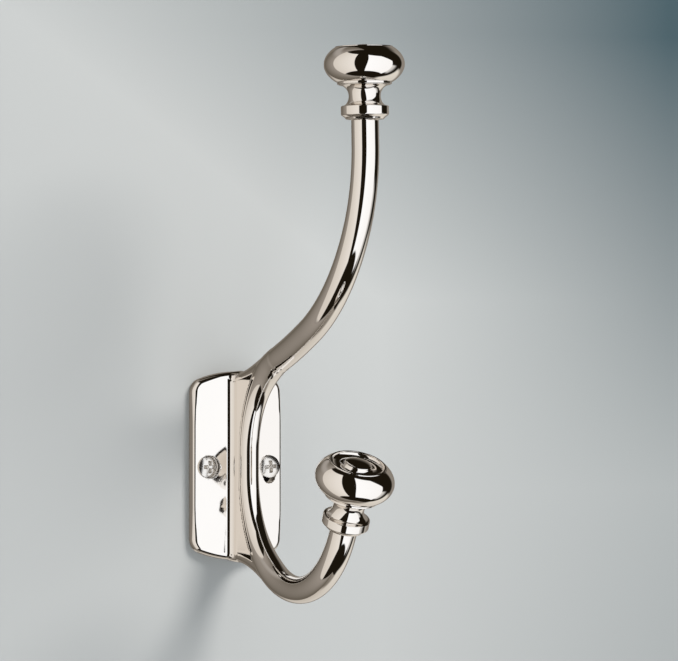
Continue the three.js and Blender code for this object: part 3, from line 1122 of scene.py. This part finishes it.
    def _holes(self, x: np.ndarray, y: np.ndarray, z: np.ndarray) -> np.ndarray:
        """Distance to everything that is drilled out.

        Args:
            x: Across the hook.
            y: Into the wall.
            z: Up.

        Returns:
            The distances.
        """
        holes = None
        for side in Side:
            u, v, w = into_frame(self.screw_frame(side, 0.0), x, y, z)
            round_gap = np.hypot(u, v)
            flank = 1.0 / math.hypot(1.0, self.countersink_slope)
            mouth = self.countersink_radius + np.minimum(w, 0.0) / self.countersink_slope
            cone = (round_gap - mouth) * flank
            hole = np.minimum(round_gap - self.screw_hole, np.maximum(cone, -w - 4.0))
            if side is Side.RIGHT:
                half = self.slot_width / 2.0
                down = np.clip(z - self.screw_height, -self.slot_drop, 0.0)
                across = x - side.value * self.screw_offset
                slot = np.hypot(across, z - self.screw_height - down) - half
                hole = np.minimum(hole, slot)
            depth = self.face_reach(self.screw_offset) + 2.0
            hole = np.maximum(hole, np.maximum(-depth - w, w - 2.2))
            holes = hole if holes is None else np.minimum(holes, hole)
        for level in Level:
            u, v, w = into_frame(self.end_frame(level), x, y, z)
            depth = np.maximum(-w - self.stud_depth, w - 1)
            bore = np.maximum(np.hypot(u, v) - self.stud_bore, depth)
            holes = np.minimum(holes, bore)
        return holes

    def distance(self, x: np.ndarray, y: np.ndarray, z: np.ndarray) -> np.ndarray:
        """Distance to the whole casting.

        Args:
            x: Across the hook.
            y: Into the wall.
            z: Up.

        Returns:
            The distances, negative inside.
        """
        reach = -y
        spine = self._bar(self.spine_axis, self.spine_swell_end, x, reach, z, cut=True)
        upper = self._bar(self.upper_axis, self.arm_swell_end, x, reach, z, cut=True)
        lower = self._bar(self.lower_axis, self.arm_swell_end, x, reach, z, cut=False)
        bars = np.minimum(round_union(spine, upper, self.crease), lower)
        arms = round_union(bars, self._web(x, reach, z), self.crease)
        body = round_union(self._plate(x, reach, z), arms, self.web_fillet)
        return round_common(body, -self._holes(x, y, z), 0.12)

    def build(self) -> None:
        """Build the casting and tie it to the frame."""
        surface = IsoSurface(self.distance, (-18.6, -113.0, -49.0), (18.6, 1.0, 125.0), self.step)
        made = surface.shell().to_object("hook_casting", MIRROR_NICKEL.material())
        finish_piece(made, Slot.POLISHED_NICKEL, "hook_body")


# ---- Finials --------------------------------------------------------------------------------


@dataclass
class Finial:
    """A turned collar and knob on an arm's end, with the stud that joins them."""

    level: Level
    seat: Matrix
    thread: ThreadTool
    band_radius: float = 8.4
    neck_radius: float = 5.6
    neck_height: float = 8.2
    collar_top: float = 12.26
    collar_top_radius: float = 9.1
    flange_radius: float = 9.6
    knob_bottom: float = 12.3
    ball: tuple[float, float] = (14.2, 8.68)
    ball_middle: float = 19.3
    bore: float = 2.55
    stud_radius: float = 2.15
    stud_bottom: float = -9.0
    stud_top: float = 20.2

    def collar(self) -> Shell:
        """Turn the collar.

        Returns:
            The collar about +Z from the arm's end.
        """
        outline = Profile().corner(self.bore, 0.03).corner(6.65, 0.03, 0.15).corner(7.2, 0.75, 0.3)
        outline.corner(7.55, 0.95, 0.15).corner(self.band_radius - 0.15, 1.45, 0.2)
        outline.corner(self.band_radius, 1.75, 0.2).corner(self.band_radius, 4.55, 0.25)
        dip = self.band_radius - 0.35 - self.neck_radius
        outline.corner(self.band_radius - 0.35, 4.72, 0.1)
        outline.sweep(
            (self.neck_radius + dip, self.neck_height), (dip, self.neck_height - 4.75), (268, 182)
        )
        flare = self.collar_top_radius - self.neck_radius
        outline.sweep(
            (self.collar_top_radius, self.neck_height),
            (flare, self.collar_top - 0.25 - self.neck_height),
            (180, 95),
        )
        outline.corner(self.collar_top_radius, self.collar_top - 0.2, 0.1)
        outline.corner(self.collar_top_radius, self.collar_top, 0.1)
        outline.corner(self.bore, self.collar_top).corner(self.bore, 0.03)
        return outline.shell()

    def knob(self) -> Shell:
        """Turn the knob.

        Returns:
            The knob about +Z from the arm's end.
        """
        wide, tall = self.ball
        low, high = -45.0, 43.5
        rim = self.ball_middle + tall * math.sin(math.radians(high))
        outline = Profile().corner(0.0, self.stud_top + 0.3).corner(self.bore, self.stud_top + 0.3)
        outline.corner(self.bore, self.knob_bottom)
        outline.corner(self.flange_radius, self.knob_bottom, 0.12)
        outline.corner(self.flange_radius, 13.05, 0.14)
        outline.corner(9.75, 13.1, 0.05)
        outline.sweep((0.0, self.ball_middle), (wide, tall), (low, high), 64)
        outline.corner(10.12, rim, 0.05).corner(10.08, rim + 0.3, 0.2)
        outline.corner(9.5, rim + 0.3, 0.25)
        outline.sweep((7.25, rim + 0.1), (2.2, 1.5), (-2, -165), 26)
        outline.corner(4.95, rim - 0.1, 0.2)
        outline.sweep((0.0, rim - 0.05), (4.9, 1.1), (4, 90), 26)
        return outline.shell()

    def stud(self) -> Shell:
        """Make the threaded stud.

        Returns:
            The stud about +Z, in the arm end's frame.
        """
        top, foot = self.stud_top, self.stud_bottom
        core = Profile().corner(0.0, foot).corner(self.stud_radius - 0.5, foot, 0.1)
        core.corner(self.stud_radius, foot + 0.5, 0.1).corner(self.stud_radius, top - 0.5, 0.1)
        core.corner(self.stud_radius - 0.5, top, 0.1).corner(0.0, top)
        length = top - foot - 1.6
        ridge = self.thread.shell(
            Matrix.Translation((0.0, 0.0, foot + 0.8)),
            ZINC.material(),
            Radius=self.stud_radius - 0.02,
            Turns=length / 0.8,
            Length=length,
            Ridge=0.36,
            Run_Out=0.03,
            Steps=26,
        )
        return core.shell(48).joined(ridge)

    def build(self) -> None:
        """Build the collar, knob and stud and tie them to the frame."""
        name = self.level.value
        nickel = MIRROR_NICKEL.material()
        collar = self.collar().placed(self.seat).to_object(f"turned_collar_{name}", nickel)
        finish_piece(collar, Slot.POLISHED_NICKEL, f"{name}_collar")
        knob = self.knob().placed(self.seat).to_object(f"turned_knob_{name}", nickel)
        finish_piece(knob, Slot.POLISHED_NICKEL, f"{name}_knob")
        stud = self.stud().placed(self.seat).to_object(f"threaded_stud_{name}", ZINC.material())
        finish_piece(stud, Slot.ZINC_STEEL, f"{name}_stud")


# ---- Fasteners ------------------------------------------------------------------------------


@dataclass
class WallScrew:
    """An oval-head wood screw with a cross recess, and the wall plug that it is driven into."""

    side: Side
    seat: Matrix
    face_to_wall: float
    thread: ThreadTool
    ribs: RibTool
    head_radius: float = 4.05
    crown: float = 1.2
    edge: float = 0.22
    cone_slope: float = 0.869
    shank_radius: float = 2.0
    core_radius: float = 1.5
    length: float = 31.9
    point: float = 4.5
    recess_span: float = 2.4
    recess_width: float = 0.66
    recess_depth: float = 2.2
    plug_sink: float = 2.55
    plug_length: float = 25.9
    plug_radius: float = 2.85
    plug_bore: float = 2.2

    def head_distance(self, u: np.ndarray, v: np.ndarray, w: np.ndarray) -> np.ndarray:
        """Distance to the head, with its cross recess.

        Args:
            u: Across the head.
            v: Up the head.
            w: Out of the plate's face.

        Returns:
            The distances, negative inside.
        """
        gap = np.hypot(u, v)
        dome_radius = (self.head_radius**2 + self.crown**2) / (2.0 * self.crown)
        top = self.edge + self.crown
        dome = np.sqrt(gap**2 + (w - top + dome_radius) ** 2) - dome_radius
        flank = 1.0 / math.hypot(1.0, self.cone_slope)
        cone = (gap - self.head_radius - w / self.cone_slope) * flank
        head = round_common(round_common(dome, gap - self.head_radius, 0.1), cone, 0.08)
        head = np.maximum(head, -w - 2.3)
        depth = np.maximum(top - w, 0.0)
        reach = self.recess_span - 0.42 * depth
        half = self.recess_width - 0.1 * depth
        foot = -(w - top + self.recess_depth) * 0.9
        wings = None
        for along, across in ((u, v), (v, u)):
            wing = round_common(np.abs(along) - reach, np.abs(across) - half, 0.1)
            slope = np.abs(along) * 0.5
            wing = round_common(wing, foot + slope * 0.6, 0.1)
            wings = wing if wings is None else np.minimum(wings, wing)
        centre = np.abs(u) + np.abs(v) - (1.25 - 0.38 * depth)
        wings = np.minimum(wings, np.maximum(centre * 0.7, foot - 0.3))
        return round_common(head, -wings, 0.09)

    def screw(self) -> Shell:
        """Make the screw.

        Returns:
            The screw in its own frame, with +Z out of the plate.
        """
        limit = self.head_radius + 0.25
        head = IsoSurface(
            self.head_distance, (-limit, -limit, -2.5), (limit, limit, 1.75), 0.1, pulls=5
        ).shell()
        tip = -self.length
        shank = Profile().corner(0.0, tip).corner(0.25, tip + 0.1, 0.1)
        shank.corner(self.core_radius, tip + self.point, 0.4)
        shank.corner(self.core_radius, -11.0, 0.2).corner(self.shank_radius, -10.5, 0.2)
        shank.corner(self.shank_radius, -1.9, 0.1).corner(0.0, -1.9)
        length = self.length - self.point - 9.0
        ridge = self.thread.shell(
            Matrix.Translation((0.0, 0.0, tip + self.point - 1.2)),
            BRIGHT_SCREW.material(),
            Radius=self.core_radius - 0.05,
            Turns=length / 1.8,
            Length=length,
            Ridge=0.58,
            Run_Out=0.06,
            Steps=36,
        )
        return head.joined(shank.shell(48)).joined(ridge)

    def plug(self) -> Shell:
        """Make the wall plug.

        Returns:
            The plug in the screw's frame.
        """
        start = -self.face_to_wall - self.plug_sink
        end = start - self.plug_length
        sleeve = Profile().corner(self.plug_bore, end)
        sleeve.corner(self.plug_radius - 0.5, end, 0.1).corner(self.plug_radius, end + 2.0, 0.3)
        sleeve.corner(self.plug_radius, start - 0.7, 0.1)
        sleeve.corner(self.plug_radius + 0.42, start - 0.6, 0.1)
        sleeve.corner(self.plug_radius + 0.42, start, 0.15)
        sleeve.corner(self.plug_bore, start).corner(self.plug_bore, end)
        ribs = self.ribs.shell(
            Matrix.Translation((0.0, 0.0, end + 3.0)),
            MOULDED_NYLON.material(),
            Radius=self.plug_radius,
            Count=8,
            Pitch=2.6,
            Rib=0.42,
        )
        return sleeve.shell(64).joined(ribs)

    def build(self) -> None:
        """Build the screw and plug and tie them to the frame."""
        name = self.side.name.lower()
        screw = self.screw().placed(self.seat)
        made = screw.to_object(f"oval_screw_{name}", BRIGHT_SCREW.material())
        finish_piece(made, Slot.NICKEL_SCREW, f"screw_{name}")
        plug = self.plug().placed(self.seat)
        made = plug.to_object(f"ribbed_plug_{name}", MOULDED_NYLON.material())
        finish_piece(made, Slot.NYLON, f"wall_plug_{name}")


# ---- Studio ---------------------------------------------------------------------------------


@dataclass(frozen=True)
class LightPanel:
    """A soft panel of light round the hook, in degrees of bearing and elevation.

    Bearing 0 is straight out of the wall and grows towards +X. Each edge is (a, b, c, softness)
    and keeps the side on which a * bearing + b * elevation is under c.
    """

    edges: tuple[tuple[float, float, float, float], ...]
    start: tuple[float, float, float]
    end: tuple[float, float, float]
    span: tuple[float, float]

    def over(
        self,
        tree: bpy.types.NodeTree,
        bearing: bpy.types.NodeSocket,
        elevation: bpy.types.NodeSocket,
        under: bpy.types.NodeSocket,
    ) -> bpy.types.NodeSocket:
        """Lay the panel over the light so far.

        Args:
            tree: The world's nodes.
            bearing: The ray's bearing.
            elevation: The ray's elevation.
            under: The light so far.

        Returns:
            The light with this panel.
        """
        mask = None
        for a, b, c, softness in self.edges:
            lean = arithmetic(tree, "MULTIPLY", bearing, a)
            rise = arithmetic(tree, "MULTIPLY", elevation, b)
            edge = add_node(
                tree,
                "ShaderNodeMapRange",
                {
                    "Value": arithmetic(tree, "ADD", lean, rise),
                    "From Min": c - softness,
                    "From Max": c + softness,
                    "To Min": 1.0,
                    "To Max": 0.0,
                },
                interpolation_type="SMOOTHSTEP",
            ).outputs[0]
            mask = edge if mask is None else arithmetic(tree, "MULTIPLY", mask, edge)
        share = add_node(
            tree,
            "ShaderNodeMapRange",
            {"Value": bearing, "From Min": self.span[0], "From Max": self.span[1]},
        ).outputs[0]
        colour = add_node(tree, "ShaderNodeMix", data_type="RGBA")
        tree.links.new(share, colour.inputs[0])
        colour.inputs[6].default_value = (*self.start, 1.0)
        colour.inputs[7].default_value = (*self.end, 1.0)
        made = add_node(tree, "ShaderNodeMix", data_type="RGBA")
        tree.links.new(mask, made.inputs[0])
        tree.links.new(under, made.inputs[6])
        tree.links.new(colour.outputs[2], made.inputs[7])
        return made.outputs[2]


@dataclass
class Studio:
    """The wall, floor, camera and soft light round the hook."""

    camera_azimuth: float = 26.5
    camera_distance: float = 2.8
    camera_side: float = 0.03834
    camera_height: float = 0.04887
    lens: float = 410.7
    floor_height: float = -0.3
    # Left, right, foot and top of the dark sheet of painted shade behind the slot, in metres.
    slot_shade: tuple[float, float, float, float] = (0.007, 0.0168, -0.009, 0.006)
    key_direction: tuple[float, float] = (30.0, 35.0)
    key_distance: float = 1.2
    key_size: float = 0.5
    key_power: float = 12.0
    key_colour: tuple[float, float, float] = (1.0, 0.93, 0.88)
    dark: tuple[float, float, float] = (0.012, 0.009, 0.005)
    panels: tuple[LightPanel, ...] = (
        # The room beyond the wall's right.
        LightPanel(
            ((-1, 0, -108, 4), (0, 1, 36, 10)), (0.3, 0.27, 0.235), (0.2, 0.175, 0.145), (112, 180)
        ),
        # The room beyond the wall's left.
        LightPanel(((1, 0, -126, 3),), (0.15, 0.13, 0.105), (0.36, 0.325, 0.29), (-172, -126)),
        LightPanel(
            ((1, 0, -126, 4), (0, -1, -34, 8), (0, 1, 50, 5)),
            (0.4, 0.37, 0.34),
            (0.42, 0.39, 0.36),
            (-180, -126),
        ),
        # The low fill behind, on the right.
        LightPanel(
            ((-1, 0, -98, 6), (0, 1, -20, 6), (0, -1, 66, 6)),
            (0.86, 0.82, 0.75),
            (0.6, 0.55, 0.49),
            (100, 180),
        ),
        # The warm panel on the left.
        LightPanel(
            ((1, 0, -54.5, 0.8), (-1, 0, 126, 2), (0, 1, 60, 1.5), (0, -1, 57, 1.5)),
            (0.76, 0.71, 0.65),
            (0.93, 0.89, 0.84),
            (-122, -62),
        ),
        # The low fill on the right.
        LightPanel(
            ((1, 0, 80, 7), (-1, 0, -40, 2), (0, 1, -12, 4), (0, -1, 50, 5)),
            (1.05, 1.04, 1.02),
            (0.35, 0.34, 0.33),
            (56, 86),
        ),
        # The large white panel in front.
        LightPanel(
            (
                (-1, 0.127, 17, 0.8),
                (1, 0.05, 62, 1.5),
                (0.33, 1, 52, 1.2),
                (1.1, 1, 78, 1.5),
                (0, -1, 59, 1.2),
            ),
            (1.18, 1.21, 1.25),
            (1.12, 1.13, 1.15),
            (-20, 57),
        ),
    )

    def light(self) -> None:
        """Light the scene from soft panels all round."""
        world = bpy.data.worlds.new("Studio")
        bpy.context.scene.world = world
        world.use_nodes = True
        tree = world.node_tree
        tree.nodes.clear()
        ray = add_node(tree, "ShaderNodeTexCoord").outputs["Generated"]
        parts = add_node(tree, "ShaderNodeSeparateXYZ", {0: ray}).outputs
        forward = arithmetic(tree, "MULTIPLY", parts["Y"], -1.0)
        to_degrees = 180.0 / math.pi
        bearing = arithmetic(
            tree, "MULTIPLY", arithmetic(tree, "ARCTAN2", parts["X"], forward), to_degrees
        )
        elevation = arithmetic(
            tree, "MULTIPLY", arithmetic(tree, "ARCSINE", parts["Z"]), to_degrees
        )
        base = add_node(tree, "ShaderNodeRGB")
        base.outputs[0].default_value = (*self.dark, 1.0)
        light = base.outputs[0]
        for panel in self.panels:
            light = panel.over(tree, bearing, elevation, light)
        studio = add_node(tree, "ShaderNodeBackground", {"Color": light, "Strength": 1.0})
        plain = add_node(
            tree, "ShaderNodeBackground", {"Color": (0.6, 0.62, 0.62, 1.0), "Strength": 1.0}
        )
        seen = add_node(tree, "ShaderNodeLightPath").outputs["Is Camera Ray"]
        mix = add_node(
            tree, "ShaderNodeMixShader", {0: seen, 1: studio.outputs[0], 2: plain.outputs[0]}
        )
        output = tree.nodes.new("ShaderNodeOutputWorld")
        tree.links.new(mix.outputs[0], output.inputs["Surface"])
        self._key_light()

    def _key_light(self) -> None:
        """Add the large soft lamp, high on the right, that shades the wall."""
        bearing, elevation = map(math.radians, self.key_direction)
        towards = Vector(
            (
                math.sin(bearing) * math.cos(elevation),
                -math.cos(bearing) * math.cos(elevation),
                math.sin(elevation),
            )
        )
        data = bpy.data.lights.new("Key light", "AREA")
        data.shape = "DISK"
        data.size = self.key_size
        data.energy = self.key_power
        data.color = self.key_colour
        lamp = bpy.data.objects.new("Key light", data)
        lamp.location = towards * self.key_distance
        lamp.rotation_euler = (-towards).to_track_quat("-Z", "Y").to_euler()
        lamp.visible_glossy = False
        bpy.context.scene.collection.objects.link(lamp)

    def _sheet(
        self, name: str, corners: list[tuple[float, float, float]], material: bpy.types.Material
    ) -> bpy.types.Object:
        """Add a flat sheet of scenery that only the camera sees.

        Args:
            name: The sheet's name.
            corners: Its corners in metres.
            material: Its material.

        Returns:
            The sheet.
        """
        mesh = bpy.data.meshes.new(name)
        mesh.from_pydata(corners, [], [tuple(range(len(corners)))])
        mesh.materials.append(material)
        sheet = bpy.data.objects.new(name, mesh)
        bpy.context.scene.collection.objects.link(sheet)
        sheet.visible_glossy = False
        sheet.visible_diffuse = False
        sheet.visible_shadow = False
        sheet.visible_transmission = False
        return sheet

    def _wall_paint_and_shade(self) -> bpy.types.Material:
        """Mix the wall's pale paint with painted shade: a painted falloff of light that deepens it
        to blue-grey high on the right.

        Returns:
            The paint, clear from behind.
        """
        paint = bpy.data.materials.new("Wall paint and painted shade")
        paint.use_nodes = True
        tree = paint.node_tree
        tree.nodes.clear()
        spot = add_node(tree, "ShaderNodeTexCoord").outputs["Object"]
        parts = add_node(tree, "ShaderNodeSeparateXYZ", {0: spot}).outputs
        above = arithmetic(tree, "MAXIMUM", arithmetic(tree, "SUBTRACT", parts["Z"], 0.06), 0.0)
        start = arithmetic(tree, "SUBTRACT", 0.06, arithmetic(tree, "MULTIPLY", above, 1.43))
        across = add_node(
            tree, "ShaderNodeMapRange", {"Value": parts["X"], "From Min": start, "From Max": 0.18}
        ).outputs[0]
        up = add_node(
            tree,
            "ShaderNodeMapRange",
            {"Value": parts["Z"], "From Min": -0.01, "From Max": 0.158, "To Min": 0.3},
        ).outputs[0]
        # The share of painted shade: darker towards the top right, standing in for the light's
        # falloff.
        depth = arithmetic(tree, "MULTIPLY", across, up)
        colour = add_node(tree, "ShaderNodeMix", data_type="RGBA")
        tree.links.new(depth, colour.inputs[0])
        # The pale paint first, then the blue-grey of the painted shade.
        colour.inputs[6].default_value = (0.481, 0.511, 0.516, 1.0)
        colour.inputs[7].default_value = (0.053, 0.088, 0.105, 1.0)
        matt = add_node(tree, "ShaderNodeBsdfDiffuse", {"Color": colour.outputs[2]})
        clear = add_node(tree, "ShaderNodeBsdfTransparent")
        behind = add_node(tree, "ShaderNodeNewGeometry").outputs["Backfacing"]
        mix = add_node(
            tree, "ShaderNodeMixShader", {0: behind, 1: matt.outputs[0], 2: clear.outputs[0]}
        )
        output = tree.nodes.new("ShaderNodeOutputMaterial")
        tree.links.new(mix.outputs[0], output.inputs["Surface"])
        return paint

    def scenery(self) -> None:
        """Put up the wall behind the hook, the floor below it and a dark sheet of painted shade
        behind the slot.
        """
        back = 0.0002
        wall = self._sheet(
            "Wall",
            [(-1.5, back, -0.3), (1.5, back, -0.3), (1.5, back, 1.5), (-1.5, back, 1.5)],
            self._wall_paint_and_shade(),
        )
        pale = bpy.data.materials.new("Floor paint")
        pale.use_nodes = True
        shader = pale.node_tree.nodes["Principled BSDF"]
        shader.inputs["Base Color"].default_value = (0.75, 0.76, 0.75, 1.0)
        shader.inputs["Roughness"].default_value = 0.9
        low = self.floor_height
        floor = self._sheet(
            "Floor", [(-1.5, -3.0, low), (1.5, -3.0, low), (1.5, 1.5, low), (-1.5, 1.5, low)], pale
        )
        # A near-black sheet just in front of the wall behind the slot: painted shade for the unlit
        # gap behind the plate.
        gap = bpy.data.materials.new("Painted shade behind the slot")
        gap.use_nodes = True
        shader = gap.node_tree.nodes["Principled BSDF"]
        shader.inputs["Base Color"].default_value = (0.006, 0.005, 0.004, 1.0)
        shader.inputs["Roughness"].default_value = 1.0
        left, right, foot, top = self.slot_shade
        near = back / 2.0
        slot = self._sheet(
            "Slot shade",
            [(left, near, foot), (right, near, foot), (right, near, top), (left, near, top)],
            gap,
        )

    def camera(self) -> None:
        """Set the camera level, to the hook's left."""
        turn = math.radians(self.camera_azimuth)
        right = Vector((math.cos(turn), -math.sin(turn), 0.0))
        ahead = Vector((math.sin(turn), math.cos(turn), 0.0))
        data = bpy.data.cameras.new("Camera")
        data.lens = self.lens
        data.sensor_width = 36.0
        data.clip_start = 0.1
        data.clip_end = 20.0
        made = bpy.data.objects.new("Camera", data)
        made.location = (
            right * self.camera_side
            + Vector((0.0, 0.0, self.camera_height))
            - ahead * self.camera_distance
        )
        made.rotation_euler = ahead.to_track_quat("-Z", "Y").to_euler()
        bpy.context.scene.collection.objects.link(made)
        bpy.context.scene.camera = made
        bpy.context.scene.view_settings.view_transform = "Standard"


def main() -> None:
    """Build the hook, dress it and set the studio."""
    logging.basicConfig(level=logging.INFO, format="%(name)s: %(message)s")
    casting = HookCasting()
    casting.build()
    thread = ThreadTool()
    ribs = RibTool()
    for level in Level:
        Finial(level, casting.end_frame(level), thread).build()
    wall_depth = casting.face_reach(casting.screw_offset)
    for side, twist in ((Side.LEFT, 0.0), (Side.RIGHT, 5.0)):
        WallScrew(side, casting.screw_frame(side, twist), wall_depth, thread, ribs).build()
    studio = Studio()
    studio.light()
    studio.scenery()
    studio.camera()


if __name__ == "__main__":
    main()
